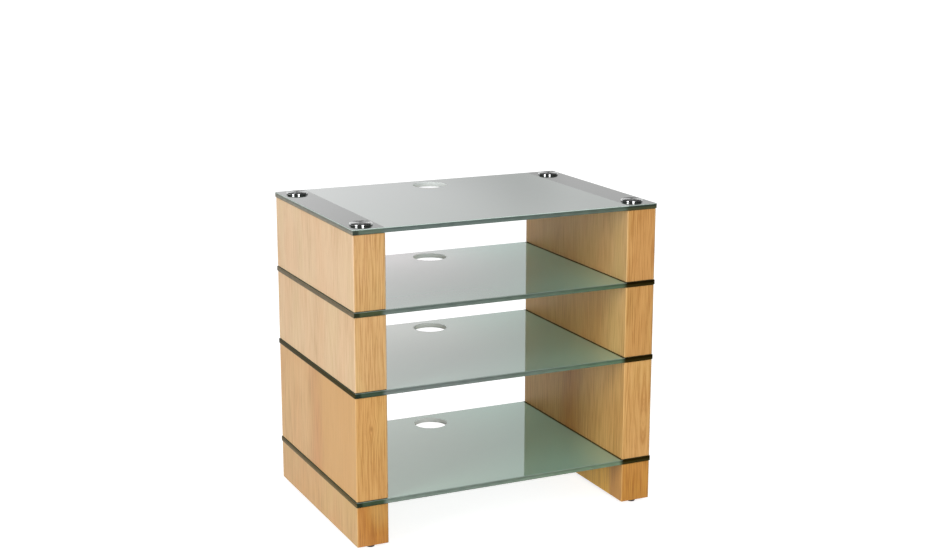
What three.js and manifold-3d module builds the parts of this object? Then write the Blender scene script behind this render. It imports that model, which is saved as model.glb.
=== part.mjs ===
// Audio equipment rack: four glass shelves clamped between two stacks of oak blocks.
// Four tie rods run down through the stacks, from a chrome cap on the top shelf to a nut in the plinth.
// Millimetres, +Z up, front towards -Y, origin on the floor under the middle of the rack.

import * as THREE from "three";
import { mergeVertices } from "three/addons/utils/BufferGeometryUtils.js";
import Module from "manifold-3d";

const wasm = await Module();
wasm.setup();

// Plan of the rack
const bayWidth = 528; // clear width between the stacks
const blockWidth = 66;
const blockDepth = 450;
const blockCornerRadius = 1.5; // softened upright edges
const blockArris = 0.4; // softened top and bottom edges
const shelfOverhang = 2; // glass beyond the wood on all four sides
const rodInset = 42; // from the wood's front or rear face to the rod's axis
const footInset = 16; // from the wood's front or rear face to the foot's axis

// Heights of the stack
const footHeight = 7; // plinth above the floor, with the feet screwed in
const plinthHeight = 82;
const lowerBlockHeight = 209.5;
const upperBlockHeight = 147.5;
const topBlockHeight = 147.5;
const shelfThickness = 10;
const gasketThickness = 1;

// Glass shelf
const shelfCornerRadius = 4;
const shelfArris = 0.9;
const cableHoleRadius = 36;
const cableHoleInset = 57; // from the glass's rear edge to the hole's centre
const shelfRodHoleRadius = 7;

// Gasket between glass and wood
const gasketSetBack = 1.2; // from the wood's faces

// Tie rod, with its nut and washer in the plinth
const rodRadius = 4;
const rodTipChamfer = 0.8;
const rodBoreRadius = 5; // in the blocks
const threadClearance = 0.3; // plain screw to plain bore
const nutAcrossFlats = 13;
const nutHeight = 6.5;
const nutChamfer = 0.4;
const nutRodTail = 3; // rod showing past the nut
const washerRadius = 12;
const washerThickness = 1.6;
const nutPocketSide = 28; // square on plan
const nutPocketCornerRadius = 3;
const nutPocketDepth = 20;

// Chrome cap on the rod's upper end
const capRadius = 22.5;
const capRimHeight = 1.8; // upright part of the rim
const capShoulderRadius = 1.9;
const capCrownHeight = 0.8; // rise of the crown above the shoulder
const capBossRadius = 6.4;
const capBossLength = 24; // below the cap's underside
const capBossChamfer = 0.8;
const capThreadLength = 18; // rod inside the cap
const capBoreEndClearance = 1; // above the rod's end
const capWasherRadius = 20;
const capWasherThickness = 0.5;
const capPocketRadius = 7; // in the top block, round the boss
const capPocketClearance = 2; // below the boss

// Levelling foot
const footPadRadius = 8.4;
const footPadHeight = 4.7;
const footPadRounding = 1.4; // lower edge
const footPadShoulder = 0.6; // upper edge
const footStemRadius = 3;
const footStemLength = 24; // above the collar
const footStemTipChamfer = 0.6;
const footStemRoot = 2.6; // below the collar, moulded into the pad
const footCollarAcrossFlats = 11;
const footCollarHeight = 2;
const footCollarChamfer = 0.3;
const footCollarClearance = 0.3; // to the insert when screwed in
const insertRadius = 6;
const insertLength = 14;
const insertFlangeRadius = 8.5;
const insertFlangeThickness = 1;
const insertFit = 0.3; // insert to its pocket
const stemBoreEndClearance = 3; // above the stem's end

// Shared by all cuts
const cutOverrun = 1;

// Facets
const largeHoleSides = 40;
const smallHoleSides = 12;
const cornerSteps = 2;
const capSides = 36;
const capShoulderSteps = 3;
const capCrownSteps = 2;
const smallRoundSides = 20;
const footRoundingSteps = 2;
const rodSides = 12;
const hexSides = 6;

// Levels worked out from the heights
const plinthTop = footHeight + plinthHeight;
const bottomShelfLevel = plinthTop + gasketThickness;
const lowerBlockLevel = bottomShelfLevel + shelfThickness + gasketThickness;
const middleShelfLevel = lowerBlockLevel + lowerBlockHeight + gasketThickness;
const upperBlockLevel = middleShelfLevel + shelfThickness + gasketThickness;
const upperShelfLevel = upperBlockLevel + upperBlockHeight + gasketThickness;
const topBlockLevel = upperShelfLevel + shelfThickness + gasketThickness;
const topShelfLevel = topBlockLevel + topBlockHeight + gasketThickness;
const rackTop = topShelfLevel + shelfThickness;

// Places worked out from the plan
const shelfWidth = bayWidth + 2 * blockWidth + 2 * shelfOverhang;
const shelfDepth = blockDepth + 2 * shelfOverhang;
const stackX = bayWidth / 2 + blockWidth / 2;
const rodY = blockDepth / 2 - rodInset;
const footY = blockDepth / 2 - footInset;
const cableHoleY = shelfDepth / 2 - cableHoleInset;
const capUnderside = rackTop + capWasherThickness;
const rodTop = capUnderside - capBossLength + capThreadLength;
const nutPocketCeiling = footHeight + nutPocketDepth;
const nutTop = nutPocketCeiling - washerThickness;
const rodBottom = nutTop - nutHeight - nutRodTail;

// The two stacks and the two rows of rods and feet
const sides = [
  { name: "left", x: -stackX },
  { name: "right", x: stackX },
];
const rows = [
  { name: "front", sign: -1 },
  { name: "rear", sign: 1 },
];

// Shelves from the top down, with the joints of each
const shelves = [
  { name: "top", level: topShelfLevel, above: false },
  { name: "upper", level: upperShelfLevel, above: true },
  { name: "middle", level: middleShelfLevel, above: true },
  { name: "bottom", level: bottomShelfLevel, above: true },
];

// Colours and finishes
const looks = {
  glass: { color: 0xaab4ae, roughness: 0.12, metalness: 0 },
  oak: { color: 0xd2a570, roughness: 0.55, metalness: 0 },
  gasketVinyl: { color: 0xb3a385, roughness: 0.45, metalness: 0 },
  chrome: { color: 0xdfe2e4, roughness: 0.08, metalness: 1 },
  washerRubber: { color: 0x1d1d1c, roughness: 0.8, metalness: 0 },
  zincSteel: { color: 0xb4b6b5, roughness: 0.35, metalness: 1 },
  darkSteel: { color: 0x4a4b4c, roughness: 0.4, metalness: 1 },
  brass: { color: 0xc6a15a, roughness: 0.35, metalness: 1 },
  footRubber: { color: 0x1a1815, roughness: 0.75, metalness: 0 },
};

function materialOf(look) {
  return new THREE.MeshStandardMaterial(looks[look]);
}

// Outlines

function circleOutline(x, y, radius, sideCount) {
  const points = [];
  for (let i = 0; i < sideCount; i += 1) {
    const angle = (i / sideCount) * 2 * Math.PI;
    points.push(new THREE.Vector2(x + radius * Math.cos(angle), y + radius * Math.sin(angle)));
  }
  return points;
}

function rectangle(width, depth) {
  return [
    new THREE.Vector2(width / 2, depth / 2),
    new THREE.Vector2(-width / 2, depth / 2),
    new THREE.Vector2(-width / 2, -depth / 2),
    new THREE.Vector2(width / 2, -depth / 2),
  ];
}

function roundedRectangle(width, depth, radius) {
  const corners = [
    { x: width / 2 - radius, y: depth / 2 - radius },
    { x: radius - width / 2, y: depth / 2 - radius },
    { x: radius - width / 2, y: radius - depth / 2 },
    { x: width / 2 - radius, y: radius - depth / 2 },
  ];
  const points = [];
  corners.forEach((corner, quarter) => {
    for (let i = 0; i <= cornerSteps; i += 1) {
      const angle = (quarter + i / cornerSteps) * (Math.PI / 2);
      const x = corner.x + radius * Math.cos(angle);
      const y = corner.y + radius * Math.sin(angle);
      points.push(new THREE.Vector2(x, y));
    }
  });
  return points;
}

function arcPoints(centreR, centreZ, radius, fromAngle, toAngle, steps) {
  const points = [];
  for (let i = 0; i <= steps; i += 1) {
    const angle = fromAngle + ((toAngle - fromAngle) * i) / steps;
    points.push(new THREE.Vector2(centreR + radius * Math.cos(angle), centreZ + radius * Math.sin(angle)));
  }
  return points;
}

// Solids

// A plate or block on z = 0, its top and bottom edges softened by the arris
function plate(outline, holes, height, arris) {
  const shape = new THREE.Shape(outline);
  holes.forEach((hole) => shape.holes.push(new THREE.Path(hole)));
  const geometry = new THREE.ExtrudeGeometry(shape, {
    depth: height - 2 * arris,
    bevelEnabled: arris > 0,
    bevelThickness: arris,
    bevelSize: arris,
    bevelOffset: -arris,
    bevelSegments: 1,
    steps: 1,
  });
  geometry.translate(0, 0, arris);
  return geometry;
}

// A turned piece about Z, from a profile of radius and height
function turned(profile, sideCount) {
  const geometry = new THREE.LatheGeometry(profile, sideCount);
  geometry.rotateX(Math.PI / 2);
  return geometry;
}

function drill(x, y, fromZ, toZ, radius) {
  const geometry = new THREE.CylinderGeometry(radius, radius, toZ - fromZ, smallHoleSides);
  geometry.rotateX(Math.PI / 2);
  geometry.translate(x, y, (fromZ + toZ) / 2);
  return geometry;
}

function solidOf(geometry) {
  const bare = geometry.clone();
  bare.deleteAttribute("normal");
  bare.deleteAttribute("uv");
  const merged = mergeVertices(bare);
  return new wasm.Manifold(
    new wasm.Mesh({
      numProp: 3,
      vertProperties: new Float32Array(merged.attributes.position.array),
      triVerts: new Uint32Array(merged.index.array),
    }),
  );
}

function geometryOf(solid) {
  const mesh = solid.getMesh();
  const geometry = new THREE.BufferGeometry();
  geometry.setAttribute("position", new THREE.BufferAttribute(mesh.vertProperties, mesh.numProp));
  geometry.setIndex(new THREE.BufferAttribute(mesh.triVerts, 1));
  const faceted = geometry.toNonIndexed();
  faceted.computeVertexNormals();
  return faceted;
}

function cut(geometry, tools) {
  const solid = tools.reduce((left, tool) => left.subtract(solidOf(tool)), solidOf(geometry));
  return geometryOf(solid);
}

// Sub-parts

function shelfGeometry() {
  const holes = [circleOutline(0, cableHoleY, cableHoleRadius, largeHoleSides)];
  sides.forEach((side) => {
    rows.forEach((row) => {
      holes.push(circleOutline(side.x, row.sign * rodY, shelfRodHoleRadius, smallHoleSides));
    });
  });
  const outline = roundedRectangle(shelfWidth, shelfDepth, shelfCornerRadius);
  return plate(outline, holes, shelfThickness, shelfArris);
}

function rodHoles(radius) {
  return rows.map((row) => circleOutline(0, row.sign * rodY, radius, smallHoleSides));
}

function blockGeometry(height) {
  const outline = roundedRectangle(blockWidth, blockDepth, blockCornerRadius);
  return plate(outline, rodHoles(rodBoreRadius), height, blockArris);
}

// The top block also takes the bosses of the caps
function topBlockGeometry() {
  const pocketFloor = capUnderside - capBossLength - capPocketClearance - topBlockLevel;
  const tools = rows.map((row) =>
    drill(0, row.sign * rodY, pocketFloor, topBlockHeight + cutOverrun, capPocketRadius),
  );
  return cut(blockGeometry(topBlockHeight), tools);
}

// A square pocket in the plinth's underside, wide enough for a socket spanner
function nutPocket(y) {
  const outline = roundedRectangle(nutPocketSide, nutPocketSide, nutPocketCornerRadius);
  const geometry = plate(outline, [], nutPocketDepth + cutOverrun, 0);
  geometry.translate(0, y, -cutOverrun);
  return geometry;
}

// The plinth also takes the rods' nuts and the feet's inserts
function plinthGeometry() {
  const stemBoreEnd = footStemLength + stemBoreEndClearance;
  const flangePocketEnd = insertFlangeThickness + insertFit;
  const insertPocketEnd = insertLength + insertFit;
  const tools = [];
  rows.forEach((row) => {
    const footAxis = row.sign * footY;
    tools.push(nutPocket(row.sign * rodY));
    tools.push(drill(0, footAxis, -cutOverrun, flangePocketEnd, insertFlangeRadius + insertFit));
    tools.push(drill(0, footAxis, -cutOverrun, insertPocketEnd, insertRadius + insertFit));
    tools.push(drill(0, footAxis, -cutOverrun, stemBoreEnd, footStemRadius + threadClearance));
  });
  return cut(blockGeometry(plinthHeight), tools);
}

function gasketGeometry() {
  const width = blockWidth - 2 * gasketSetBack;
  const depth = blockDepth - 2 * gasketSetBack;
  return plate(rectangle(width, depth), rodHoles(shelfRodHoleRadius), gasketThickness, 0);
}

function rodGeometry() {
  const length = rodTop - rodBottom;
  const profile = [
    new THREE.Vector2(0, 0),
    new THREE.Vector2(rodRadius - rodTipChamfer, 0),
    new THREE.Vector2(rodRadius, rodTipChamfer),
    new THREE.Vector2(rodRadius, length - rodTipChamfer),
    new THREE.Vector2(rodRadius - rodTipChamfer, length),
    new THREE.Vector2(0, length),
  ];
  return turned(profile, rodSides);
}

function ringGeometry(outerRadius, innerRadius, thickness, sideCount) {
  const outer = circleOutline(0, 0, outerRadius, sideCount);
  const inner = circleOutline(0, 0, innerRadius, smallHoleSides);
  return plate(outer, [inner], thickness, 0);
}

function hexOutline(acrossFlats) {
  const cornerRadius = acrossFlats / 2 / Math.cos(Math.PI / hexSides);
  return circleOutline(0, 0, cornerRadius, hexSides);
}

function nutGeometry() {
  const bore = circleOutline(0, 0, rodRadius + threadClearance, smallHoleSides);
  return plate(hexOutline(nutAcrossFlats), [bore], nutHeight, nutChamfer);
}

// Heights in the cap are measured from its underside
function capGeometry() {
  const shoulderCentreR = capRadius - capShoulderRadius;
  const shoulderTop = capRimHeight + capShoulderRadius;
  const boreRadius = rodRadius + threadClearance;
  const boreEnd = capThreadLength + capBoreEndClearance - capBossLength;
  const shoulder = arcPoints(
    shoulderCentreR,
    capRimHeight,
    capShoulderRadius,
    0,
    Math.PI / 2,
    capShoulderSteps,
  );
  const crown = [];
  for (let i = 1; i <= capCrownSteps; i += 1) {
    const inward = i / capCrownSteps;
    const rise = capCrownHeight * (1 - (1 - inward) ** 2);
    crown.push(new THREE.Vector2(shoulderCentreR * (1 - inward), shoulderTop + rise));
  }
  const profile = [
    new THREE.Vector2(0, boreEnd),
    new THREE.Vector2(boreRadius, boreEnd),
    new THREE.Vector2(boreRadius, -capBossLength),
    new THREE.Vector2(capBossRadius - capBossChamfer, -capBossLength),
    new THREE.Vector2(capBossRadius, capBossChamfer - capBossLength),
    new THREE.Vector2(capBossRadius, 0),
    new THREE.Vector2(capRadius, 0),
    ...shoulder,
    ...crown,
  ];
  return turned(profile, capSides);
}

// Heights in the foot are measured from the floor
function footPadGeometry() {
  const rounding = arcPoints(
    footPadRadius - footPadRounding,
    footPadRounding,
    footPadRounding,
    -Math.PI / 2,
    0,
    footRoundingSteps,
  );
  const socketRadius = footStemRadius + threadClearance;
  const socketFloor = footPadHeight - footStemRoot - threadClearance;
  const profile = [
    new THREE.Vector2(0, 0),
    ...rounding,
    new THREE.Vector2(footPadRadius, footPadHeight - footPadShoulder),
    new THREE.Vector2(footPadRadius - footPadShoulder, footPadHeight),
    new THREE.Vector2(socketRadius, footPadHeight),
    new THREE.Vector2(socketRadius, socketFloor),
    new THREE.Vector2(0, socketFloor),
  ];
  return turned(profile, smallRoundSides);
}

// The stem's screw, hexagonal collar and root are one piece
function footStemGeometry() {
  const length = footStemLength + footCollarHeight + footStemRoot;
  const profile = [
    new THREE.Vector2(0, 0),
    new THREE.Vector2(footStemRadius, 0),
    new THREE.Vector2(footStemRadius, length - footStemTipChamfer),
    new THREE.Vector2(footStemRadius - footStemTipChamfer, length),
    new THREE.Vector2(0, length),
  ];
  const collar = plate(hexOutline(footCollarAcrossFlats), [], footCollarHeight, footCollarChamfer);
  collar.translate(0, 0, footStemRoot);
  return geometryOf(solidOf(turned(profile, rodSides)).add(solidOf(collar)));
}

function insertGeometry() {
  const boreRadius = footStemRadius + threadClearance;
  const profile = [
    new THREE.Vector2(boreRadius, 0),
    new THREE.Vector2(insertFlangeRadius, 0),
    new THREE.Vector2(insertFlangeRadius, insertFlangeThickness),
    new THREE.Vector2(insertRadius, insertFlangeThickness),
    new THREE.Vector2(insertRadius, insertLength),
    new THREE.Vector2(boreRadius, insertLength),
    new THREE.Vector2(boreRadius, 0),
  ];
  return turned(profile, rodSides);
}

// The rack

const rack = new THREE.Group();

function place(parent, name, geometry, look, x, y, z) {
  const mesh = new THREE.Mesh(geometry, materialOf(look));
  mesh.name = name;
  mesh.position.set(x, y, z);
  parent.add(mesh);
}

function addShelves() {
  shelves.forEach((shelf) => {
    place(rack, `shelf_${shelf.name}`, shelfGeometry(), "glass", 0, 0, shelf.level);
  });
}

function addStack(side) {
  const stack = new THREE.Group();
  stack.position.set(side.x, 0, 0);
  rack.add(stack);
  place(stack, `${side.name}_plinth`, plinthGeometry(), "oak", 0, 0, footHeight);
  place(stack, `${side.name}_block_lower`, blockGeometry(lowerBlockHeight), "oak", 0, 0, lowerBlockLevel);
  place(stack, `${side.name}_block_upper`, blockGeometry(upperBlockHeight), "oak", 0, 0, upperBlockLevel);
  place(stack, `${side.name}_block_top`, topBlockGeometry(), "oak", 0, 0, topBlockLevel);
  shelves.forEach((shelf) => {
    const name = `${side.name}_gasket_${shelf.name}`;
    const below = shelf.level - gasketThickness;
    place(stack, `${name}_below`, gasketGeometry(), "gasketVinyl", 0, 0, below);
    if (shelf.above) {
      const above = shelf.level + shelfThickness;
      place(stack, `${name}_above`, gasketGeometry(), "gasketVinyl", 0, 0, above);
    }
  });
  return stack;
}

function addRod(stack, side, row) {
  const tie = new THREE.Group();
  tie.position.set(0, row.sign * rodY, 0);
  stack.add(tie);
  const spot = `${side.name}_${row.name}`;
  const rodClearRadius = rodRadius + threadClearance;
  const washer = ringGeometry(washerRadius, rodClearRadius, washerThickness, smallRoundSides);
  const capWasher = ringGeometry(capWasherRadius, shelfRodHoleRadius, capWasherThickness, largeHoleSides);
  place(tie, `rod_${spot}`, rodGeometry(), "zincSteel", 0, 0, rodBottom);
  place(tie, `nut_${spot}`, nutGeometry(), "zincSteel", 0, 0, nutTop - nutHeight);
  place(tie, `washer_${spot}`, washer, "zincSteel", 0, 0, nutTop);
  place(tie, `cap_washer_${spot}`, capWasher, "washerRubber", 0, 0, rackTop);
  place(tie, `cap_${spot}`, capGeometry(), "chrome", 0, 0, capUnderside);
}

function addFoot(stack, side, row) {
  const foot = new THREE.Group();
  foot.position.set(0, row.sign * footY, 0);
  stack.add(foot);
  const spot = `${side.name}_${row.name}`;
  const collarTop = footHeight - footCollarClearance;
  const stemBottom = collarTop - footCollarHeight - footStemRoot;
  place(foot, `foot_insert_${spot}`, insertGeometry(), "brass", 0, 0, footHeight);
  place(foot, `foot_stem_${spot}`, footStemGeometry(), "darkSteel", 0, 0, stemBottom);
  place(foot, `foot_pad_${spot}`, footPadGeometry(), "footRubber", 0, 0, 0);
}

addShelves();
sides.forEach((side) => {
  const stack = addStack(side);
  rows.forEach((row) => {
    addRod(stack, side, row);
    addFoot(stack, side, row);
  });
});

export default rack;
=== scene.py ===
"""An audio equipment rack, dressed for its picture: oak stacks, glass shelves, chrome caps, small feet."""
import math

import bmesh
import bpy
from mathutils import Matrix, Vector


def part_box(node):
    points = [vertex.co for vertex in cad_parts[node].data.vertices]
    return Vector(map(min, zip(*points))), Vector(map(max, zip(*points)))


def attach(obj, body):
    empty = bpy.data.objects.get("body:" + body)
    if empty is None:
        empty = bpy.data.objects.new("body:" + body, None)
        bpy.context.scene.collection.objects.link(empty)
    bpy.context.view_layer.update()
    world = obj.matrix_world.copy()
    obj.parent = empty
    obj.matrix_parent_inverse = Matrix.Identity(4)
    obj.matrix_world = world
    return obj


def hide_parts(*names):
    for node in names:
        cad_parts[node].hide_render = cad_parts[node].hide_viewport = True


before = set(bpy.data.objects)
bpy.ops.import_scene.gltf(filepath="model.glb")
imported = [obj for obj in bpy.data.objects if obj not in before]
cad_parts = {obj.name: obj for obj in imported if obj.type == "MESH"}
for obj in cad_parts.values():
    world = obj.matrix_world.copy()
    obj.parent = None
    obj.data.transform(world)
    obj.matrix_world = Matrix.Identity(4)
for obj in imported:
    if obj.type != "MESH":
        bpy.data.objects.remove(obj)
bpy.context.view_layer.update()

# Metres. +X right, +Y rear, +Z up, as in the frame.
MM = 0.001

# What the nodes' names are made of
SIDES = ("left", "right")
ROWS = ("front", "rear")
SPOTS = [f"{side}_{row}" for side in SIDES for row in ROWS]
SHELVES = ("top", "upper", "middle", "bottom")
BLOCKS = ("plinth", "block_lower", "block_upper", "block_top")

# Wooden blocks, as distances from the rack's middle
BLOCK_INNER = 264 * MM
BLOCK_OUTER = 330 * MM
BLOCK_HALF_DEPTH = 225 * MM

# Glass shelf
SHELF_CORNER_RADIUS = 4 * MM
SHELF_ARRIS = 0.9 * MM
CABLE_HOLE_RADIUS = 36 * MM
CABLE_HOLE_INSET = 57 * MM
ROD_HOLE_RADIUS = 7 * MM
GASKET_SET_BACK = 1.2 * MM

# Chrome cap
CAP_SHOULDER = 1.9 * MM
CAP_CROWN = 0.8 * MM
CAP_RIM_CHAMFER = 0.3 * MM
CAP_BOSS_RADIUS = 6.4 * MM
CAP_BOSS_CHAMFER = 0.8 * MM
CAP_BORE_RADIUS = 4.3 * MM
CAP_BORE_DEPTH = 19 * MM

# Foot pad
PAD_ROUNDING = 1.4 * MM
PAD_SHOULDER = 0.6 * MM
PAD_SOCKET_RADIUS = 3.3 * MM
PAD_SOCKET_PLAY = 0.3 * MM

# Foot screw, from its root in the pad to its tip
STEM_RADIUS = 3 * MM
STEM_ROOT = 2.6 * MM
STEM_COLLAR = 2 * MM
STEM_COLLAR_CHAMFER = 0.3 * MM
STEM_RUN_IN = 0.1 * MM
STEM_RUN_OUT = 0.2 * MM
STEM_TIP = 0.9 * MM
THREAD_PITCH = 1 * MM
THREAD_DEPTH = 0.45 * MM

# How finely round shapes are divided
CABLE_HOLE_SIDES = 128
ROD_HOLE_SIDES = 32
CAP_SIDES = 96
PAD_SIDES = 64
STEM_SIDES = 28
SHELF_CORNER_STEPS = 8
SHELF_ARRIS_STEPS = 3
CAP_SHOULDER_STEPS = 10
CAP_CROWN_STEPS = 12
PAD_ROUNDING_STEPS = 6
PAD_SHOULDER_STEPS = 4
THREAD_STEPS = 8

# Where a mesh is creased, and the upward part of a level face's normal
CREASE_ANGLE = math.radians(32)
LEVEL = 0.9999


# Node trees

# The Mix node's inputs and output for each kind of value
MIX_SOCKETS = {"FLOAT": (2, 3, 0), "RGBA": (6, 7, 2)}
NOISE_MIDDLE = 0.5


class Shader:
    """A node tree, built one node at a time. Most helpers return an output of the new node."""

    def __init__(self, tree):
        self.tree = tree
        self.tree.nodes.clear()

    def add(self, kind, inputs=None, **settings):
        node = self.tree.nodes.new(kind)
        for name, value in settings.items():
            setattr(node, name, value)
        for name, value in (inputs or {}).items():
            self.feed(node.inputs[name], value)
        return node

    def feed(self, socket, value):
        if isinstance(value, bpy.types.NodeSocket):
            self.tree.links.new(value, socket)
        else:
            socket.default_value = value

    def math(self, operation, *values):
        node = self.add("ShaderNodeMath", operation=operation)
        for number, value in enumerate(values):
            self.feed(node.inputs[number], value)
        return node.outputs[0]

    def times(self, first, second):
        return self.math("MULTIPLY", first, second)

    def minus(self, first, second):
        return self.math("SUBTRACT", first, second)

    def length(self, first, second):
        """The length of a vector from its two parts."""
        squares = self.math("ADD", self.times(first, first), self.times(second, second))
        return self.math("SQRT", squares)

    def spread(self, value, low, high, to_low=0.0, to_high=1.0):
        """value, taken from low..high to to_low..to_high and held there."""
        node = self.add("ShaderNodeMapRange", interpolation_type="SMOOTHSTEP")
        for number, each in enumerate((value, low, high, to_low, to_high)):
            self.feed(node.inputs[number], each)
        return node.outputs[0]

    def mix(self, share, first, second, kind="RGBA"):
        """The first colour where share is 0, the second where it is 1."""
        node = self.add("ShaderNodeMix", data_type=kind)
        first_input, second_input, output = MIX_SOCKETS[kind]
        self.feed(node.inputs[0], share)
        self.feed(node.inputs[first_input], first)
        self.feed(node.inputs[second_input], second)
        return node.outputs[output]

    def mix_number(self, share, first, second):
        return self.mix(share, first, second, "FLOAT")

    def shaded(self, colour, shares):
        """A colour, each part of it times its share."""
        node = self.add("ShaderNodeVectorMath", {0: colour, 1: shares}, operation="MULTIPLY")
        return node.outputs["Vector"]

    def scaled(self, colour, share):
        """A colour, all of it times one share."""
        node = self.add("ShaderNodeVectorMath", {0: colour, "Scale": share}, operation="SCALE")
        return node.outputs["Vector"]

    def ramp(self, value, stops):
        node = self.add("ShaderNodeValToRGB", {"Fac": value})
        marks = node.color_ramp.elements
        while len(marks) < len(stops):
            marks.new(1.0)
        for mark, (place, colour) in zip(marks, stops):
            mark.position = place
            mark.color = colour
        return node.outputs["Color"]

    def parts(self, vector):
        node = self.add("ShaderNodeSeparateXYZ", {"Vector": vector})
        return node.outputs["X"], node.outputs["Y"], node.outputs["Z"]

    def place(self):
        """The point's x, y and z in the frame."""
        return self.parts(self.add("ShaderNodeTexCoord").outputs["Object"])

    def facing(self):
        """The face's normal as x, y and z."""
        return self.parts(self.add("ShaderNodeNewGeometry").outputs["True Normal"])

    def vector(self, x, y, z):
        return self.add("ShaderNodeCombineXYZ", {"X": x, "Y": y, "Z": z}).outputs[0]

    def noise(self, vector, scale, detail, roughness=0.5):
        inputs = {"Vector": vector, "Scale": scale, "Detail": detail, "Roughness": roughness}
        return self.add("ShaderNodeTexNoise", inputs).outputs[0]

    def waver(self, *values):
        """Noise about zero."""
        return self.minus(self.noise(*values), NOISE_MIDDLE)

    def bump(self, height, strength, distance):
        inputs = {"Height": height, "Strength": strength, "Distance": distance}
        return self.add("ShaderNodeBump", inputs).outputs["Normal"]

    def principled(self, inputs):
        """The surface's shader as a node."""
        return self.add("ShaderNodeBsdfPrincipled", inputs)


def surface(name, build):
    """A material whose surface is the shader that build(shader) returns."""
    material = bpy.data.materials.new(name)
    material.use_nodes = True
    shader = Shader(material.node_tree)
    output = shader.add("ShaderNodeOutputMaterial")
    shader.feed(output.inputs["Surface"], build(shader).outputs[0])
    return material


def tinted(colour, shares):
    """A colour, each part of it times its share and held at 1."""
    return tuple(min(1.0, value * share) for value, share in zip(colour, shares)) + (1.0,)


# In the values of the materials a NOISE is a scale and a detail, and a FADE is the range of a value and
# what that range is taken to, where this isn't 0 to 1. A BUMP is a strength and a depth. A ROUGHNESS with
# two numbers is a start and what noise adds to it.

# Oak

# How each block looks. Its fronts are its front and its rear face.
# front and side: middle tone of the veneer on the fronts and on the sides
# stripes: how strongly the stripes show on the sides and on the fronts
# patchiness: how strongly the patches show, where it isn't PATCHINESS
# knot: centre and size
# cathedral: tip and narrowness of a pointed figure
# heartwood: where a redder band runs up the sides, what it multiplies the tones by, and how much yellower
# the wood before it is
# inner: painted light and shade on the side in the bay, as what its tones are multiplied by at the front
# and at the rear, and how far from the front the change ends
OAK_LOOKS = {
    "left_plinth": {
        "front": (0.458, 0.182, 0.025, 1.0),
        "side": (0.615, 0.367, 0.137, 1.0),
        "stripes": (1.7, 2.9),
        "patchiness": 1.0,
    },
    "left_block_lower": {
        "front": (0.56, 0.300, 0.089, 1.0),
        "side": (0.63, 0.376, 0.147, 1.0),
        "stripes": (1.6, 1.9),
        "knot": ((-298 * MM, 246 * MM), 5 * MM),
        "heartwood": (-5 * MM, (0.90, 0.752, 0.616, 1.0), 0.75),
    },
    "left_block_upper": {
        "front": (0.575, 0.337, 0.128, 1.0),
        "side": (0.71, 0.485, 0.265, 1.0),
        "stripes": (0.9, 1.7),
    },
    "left_block_top": {
        "front": (0.545, 0.315, 0.110, 1.0),
        "side": (0.73, 0.505, 0.290, 1.0),
        "stripes": (0.7, 2.0),
    },
    "right_plinth": {
        "front": (0.50, 0.218, 0.031, 1.0),
        "side": (0.62, 0.360, 0.110, 1.0),
        "stripes": (1.7, 2.9),
        "inner": ((0.92, 0.74, 0.52, 1.0), (1.45, 1.37, 0.72, 1.0), 65 * MM),
    },
    "right_block_lower": {
        "front": (0.61, 0.328, 0.102, 1.0),
        "side": (0.58, 0.330, 0.108, 1.0),
        "stripes": (1.9, 1.7),
        "cathedral": ((313 * MM, 262 * MM), 0.07),
        "heartwood": (5 * MM, (0.82, 0.67, 0.40, 1.0), 0.0),
        "inner": ((1.18, 1.15, 1.10, 1.0), (0.90, 0.86, 0.76, 1.0), 225 * MM),
    },
    "right_block_upper": {
        "front": (0.52, 0.268, 0.074, 1.0),
        "side": (0.63, 0.365, 0.118, 1.0),
        "stripes": (1.2, 2.6),
        "inner": ((1.17, 1.23, 1.42, 1.0), (1.00, 0.92, 0.90, 1.0), 130 * MM),
    },
    "right_block_top": {
        "front": (0.52, 0.262, 0.073, 1.0),
        "side": (0.65, 0.390, 0.145, 1.0),
        "stripes": (1.0, 3.0),
        "inner": ((1.07, 1.10, 1.22, 1.0), (0.97, 0.89, 0.88, 1.0), 160 * MM),
    },
}
# Each block, and on it the fronts, has a place of its own in the noise
FIRST_SEED = 1.7
SEED_PER_SIDE = 5.3
SEED_PER_BLOCK = 0.93
FRONT_SHIFT = 3.0
# What the tone of a front or a side is multiplied by in dark and light grain, in pores, in yellower wood,
# in the painted highlight on upright edges and the painted shade at a front's right end, and what changes
# nothing
OAK_DARK_SHARES = (0.76, 0.66, 0.52)
OAK_LIGHT_SHARES = (1.10, 1.17, 1.30)
OAK_PORE_SHARES = (0.58, 0.48, 0.38)
YELLOWING_SHARES = (1.00, 0.90, 0.64)
EDGE_HIGHLIGHT_SHARES = (1.22, 1.34, 1.60)
END_SHADE_SHARES = (0.82, 0.94, 1.28, 1.0)
EVEN_SHARES = (1.0, 1.0, 1.0, 1.0)
# Least part of the normal for a face to count as a side, a front or a level face
FACING = 0.7
# How much the grain's waverings are stretched across and along it, and how far they move it. The quick one
# has a reach on the sides and one on the fronts.
SLOW_STRETCH = (6.0, 1.6)
SLOW_NOISE = (2.0, 1.0)
SLOW_REACH = 10 * MM
QUICK_STRETCH = (1.6, 1.0)
QUICK_NOISE = (19.0, 1.0)
QUICK_REACHES = (4 * MM, 1.8 * MM)
# How much each layer of the grain is stretched along it, and the scale, detail and roughness of its noise
BANDS = (0.30, 17.0, 1.0, 0.5)
STRIPES = (0.025, 480.0, 1.0, 0.5)
LINES = (0.02, 800.0, 1.0, 0.6)
HAIRS = (0.02, 1100.0, 1.0, 0.5)
PORES = (0.035, 1500.0, 1.0, 0.5)
# How strongly each layer shows, on the sides and on the fronts where it has two numbers
BAND_WEIGHTS = (0.55, 0.30)
LINE_WEIGHTS = (0.95, 1.35)
HAIR_WEIGHT = 0.45
PORE_WEIGHTS = (0.35, 1.0)
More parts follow.
